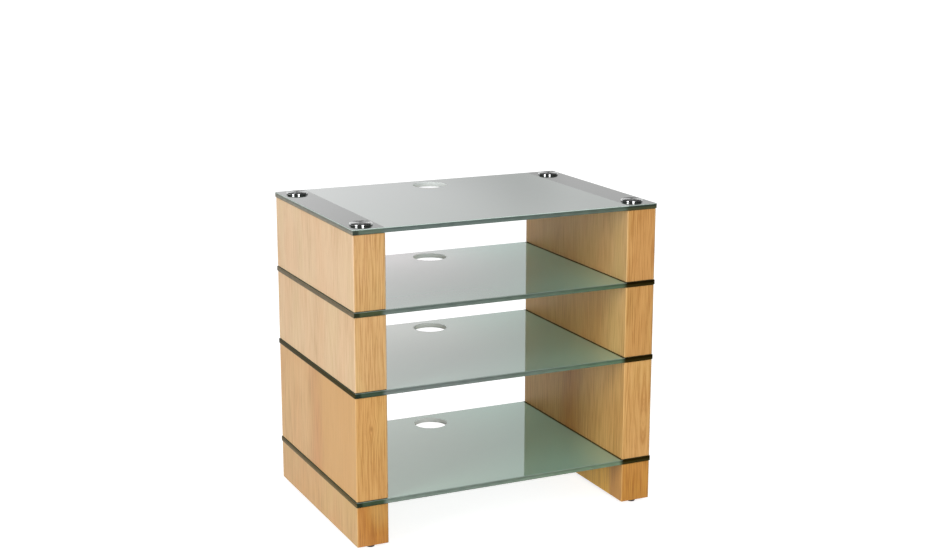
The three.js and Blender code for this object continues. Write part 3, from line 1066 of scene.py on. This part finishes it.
def pad_profile(low, high, socket_floor, radius):
    """From the middle of the underside round the outside and down into the screw's socket."""
    lower_centre = (radius - PAD_ROUNDING, low + PAD_ROUNDING)
    upper_centre = (radius - PAD_SHOULDER, high - PAD_SHOULDER)
    return [
        (0, low),
        *arc(*lower_centre, PAD_ROUNDING, -90, 0, PAD_ROUNDING_STEPS),
        *arc(*upper_centre, PAD_SHOULDER, 0, 90, PAD_SHOULDER_STEPS),
        (PAD_SOCKET_RADIUS, high),
        (PAD_SOCKET_RADIUS, socket_floor),
        (0, socket_floor),
    ]


def add_pads():
    pad_rubber = rubber("foot_rubber", (0.014, 0.012, 0.010, 1.0), low_roughness=0.48)
    for spot in SPOTS:
        node = f"foot_pad_{spot}"
        low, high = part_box(node)
        x, y, radius = axis_of(node)
        socket_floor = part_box(f"foot_stem_{spot}")[0].z - PAD_SOCKET_PLAY
        profile = pad_profile(low.z, high.z, socket_floor, radius)
        mesh = turned(f"rubber_{node}", x, y, profile, PAD_SIDES)
        finished(f"rubber_{node}", mesh, [pad_rubber], f"{spot}_foot", "foot_rubber", node)


def hexagon(corner, shrink):
    """The radius of a hexagon with this corner radius, all round smaller by shrink."""

    def radius_at(angle):
        from_flat = angle % (math.pi / 3) - math.pi / 6
        return corner * math.cos(math.pi / 6) / math.cos(from_flat) - shrink

    return radius_at


def threaded(z):
    """The radius of a rounded V thread at a height, right-handed."""

    def radius_at(angle):
        turn = (z / THREAD_PITCH - angle / (2 * math.pi)) % 1
        return STEM_RADIUS - THREAD_DEPTH * abs(2 * turn - 1)

    return radius_at


def stem_sections(low, high, corner):
    """The foot screw's shape from below: a plain root, a hexagonal collar and a threaded shank."""
    under_collar = low + STEM_ROOT
    over_collar = under_collar + STEM_COLLAR
    core = circular(STEM_RADIUS - THREAD_DEPTH)
    sections = [
        (circular(STEM_RADIUS), low),
        (circular(STEM_RADIUS), under_collar),
        (hexagon(corner, STEM_COLLAR_CHAMFER), under_collar),
        (hexagon(corner, 0), under_collar + STEM_COLLAR_CHAMFER),
        (hexagon(corner, 0), over_collar - STEM_COLLAR_CHAMFER),
        (hexagon(corner, STEM_COLLAR_CHAMFER), over_collar),
        (core, over_collar),
    ]
    start = over_collar + STEM_RUN_IN
    end = high - STEM_TIP
    steps = int((end - start) / (THREAD_PITCH / THREAD_STEPS))
    for step in range(steps + 1):
        z = start + (end - start) * step / steps
        sections.append((threaded(z), z))
    sections += [(core, end + STEM_RUN_OUT), (circular(STEM_RADIUS - STEM_TIP), high)]
    return sections


def add_stems():
    steel = plated("dark_steel", (0.11, 0.11, 0.115, 1.0), roughness=0.38, wavering=0.16)
    for spot in SPOTS:
        node = f"foot_stem_{spot}"
        low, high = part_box(node)
        x, y, corner = axis_of(node)
        bm = bmesh.new()
        loops = []
        for radius_at, z in stem_sections(low.z, high.z, corner):
            loops.append(add_loop(bm, around(x, y, STEM_SIDES, radius_at), z))
        add_skin(bm, loops)
        bm.faces.new(loops[0])
        bm.faces.new(loops[-1])
        mesh = mesh_of(f"steel_{node}", bm)
        finished(f"steel_{node}", mesh, [steel], f"{spot}_foot", "dark_steel", node)


# Stage, light and camera

WHITE = (1.0, 1.0, 1.0, 1.0)
FLOOR_GREY = (0.62, 0.62, 0.62, 1.0)
FLOOR_HALF_SIZE = 30
# How brightly the floor shines by itself where it is seen, and where it is mirrored: round the rack, and
# behind it as far as it goes
FLOOR_GLOW = 0.79
MIRRORED_FLOOR_GLOW = 0.72
FLOOR_ROUND_FADE = (1.6, 2.6, 1.0, 0.1)
FLOOR_BEHIND_FADE = (0.5, 2.0)
# How bright the surroundings are in a mirror, by the direction's upward part, by how far it is along AHEAD
# and by its rightward part, where a falling share and a rising one are added
AHEAD = (0.42, 0.907, 0.0)
CEILING_FADE = (0.36, 0.52, 1.0, 0.03)
WALL_FADE = (0.30, 0.60, 0.10, 1.0)
FALLING = {"From Min": 0.32, "From Max": 0.46, "To Min": 1.26, "To Max": 0.76}
RISING_FADE = (0.44, 0.48, 0.0, 0.25)
# The light that falls on the rack from all round, by the direction's rearward part
DOME_FADE = (0.1, 0.8, 0.46, 0.98)
# Name, place, width, height and watts
LAMPS = (
    ("front_lamp", (-0.45, -3.95, 1.10), 1.2, 1.8, 69),
    ("side_lamp", (-3.60, -1.50, 1.40), 1.4, 2.0, 66),
)
LAMP_TARGET = (0.0, 0.0, 0.35)
# Camera, fitted to the photograph's corners: metres, radians, and millimetres for lens and sensor
CAMERA_PLACE = (-1.3876, -2.9962, 1.2359)
CAMERA_YAW = 0.4347
CAMERA_PITCH = 0.2294
CAMERA_LENS = 62.73
SENSOR_WIDTH = 36.0


def seen_and_mirrored(s):
    """Two shares: 1 on rays that see things straight or through glass, and 1 on rays in a mirror."""
    rays = s.add("ShaderNodeLightPath").outputs
    return s.math("MAXIMUM", rays["Is Camera Ray"], rays["Is Transmission Ray"]), rays["Is Glossy Ray"]


def floor_paint(s):
    """Grey paint under a glow that makes it white in the picture and leaves the rack's shadow."""
    seen, mirrored = seen_and_mirrored(s)
    x, y, _ = s.place()
    near = s.spread(s.length(x, y), *FLOOR_ROUND_FADE)
    reach = s.math("MAXIMUM", near, s.spread(y, *FLOOR_BEHIND_FADE))
    glow_in_mirror = s.times(mirrored, s.times(reach, MIRRORED_FLOOR_GLOW))
    glow = s.math("MAXIMUM", s.times(seen, FLOOR_GLOW), glow_in_mirror)
    paint = s.add("ShaderNodeBsdfDiffuse", {"Color": FLOOR_GREY})
    light = s.add("ShaderNodeEmission", {"Color": WHITE, "Strength": glow})
    return s.add("ShaderNodeAddShader", {0: paint.outputs[0], 1: light.outputs[0]})


def add_floor():
    bm = bmesh.new()
    bmesh.ops.create_grid(bm, x_segments=1, y_segments=1, size=FLOOR_HALF_SIZE)
    floor = bpy.data.objects.new("floor", mesh_of("floor", bm))
    bpy.context.scene.collection.objects.link(floor)
    floor.data.materials.append(surface("floor", floor_paint))


def light_world():
    """A white backdrop, dimmer walls and ceiling where they are mirrored, and a plain pale dome."""
    world = bpy.data.worlds.new("world")
    bpy.context.scene.world = world
    world.use_nodes = True
    s = Shader(world.node_tree)
    seen, mirrored = seen_and_mirrored(s)
    direction = s.add("ShaderNodeTexCoord").outputs["Generated"]
    rightward, rearward, upward = s.parts(direction)
    ahead = s.add("ShaderNodeVectorMath", {0: direction, 1: AHEAD}, operation="DOT_PRODUCT")
    wall = s.spread(ahead.outputs["Value"], *WALL_FADE)
    falling = s.add("ShaderNodeMapRange", {"Value": rightward, **FALLING})
    across = s.math("ADD", falling.outputs["Result"], s.spread(rightward, *RISING_FADE))
    in_mirror = s.times(s.times(s.spread(upward, *CEILING_FADE), wall), across)
    strength = s.mix_number(mirrored, s.spread(rearward, *DOME_FADE), in_mirror)
    strength = s.mix_number(seen, strength, 1.0)
    background = s.add("ShaderNodeBackground", {"Color": WHITE, "Strength": strength})
    output = s.add("ShaderNodeOutputWorld")
    s.feed(output.inputs["Surface"], background.outputs[0])


def add_lamp(name, place, width, height, power):
    data = bpy.data.lights.new(name, "AREA")
    data.shape = "RECTANGLE"
    data.size = width
    data.size_y = height
    data.energy = power
    lamp = bpy.data.objects.new(name, data)
    bpy.context.scene.collection.objects.link(lamp)
    lamp.location = place
    to_x, to_y, to_z = [to - at for to, at in zip(LAMP_TARGET, place)]
    tilt = math.pi / 2 + math.atan2(to_z, math.hypot(to_x, to_y))
    lamp.rotation_euler = (tilt, 0.0, math.atan2(-to_x, to_y))


def add_camera():
    data = bpy.data.cameras.new("camera")
    data.sensor_width = SENSOR_WIDTH
    data.lens = CAMERA_LENS
    camera = bpy.data.objects.new("camera", data)
    bpy.context.scene.collection.objects.link(camera)
    camera.location = CAMERA_PLACE
    camera.rotation_euler = (math.pi / 2 - CAMERA_PITCH, 0.0, -CAMERA_YAW)
    bpy.context.scene.camera = camera


add_camera()
dress_wood()
dress_small_parts()
add_shelves()
add_caps()
add_pads()
add_stems()
add_floor()
light_world()
for lamp_values in LAMPS:
    add_lamp(*lamp_values)
bpy.context.scene.view_settings.view_transform = "Standard"
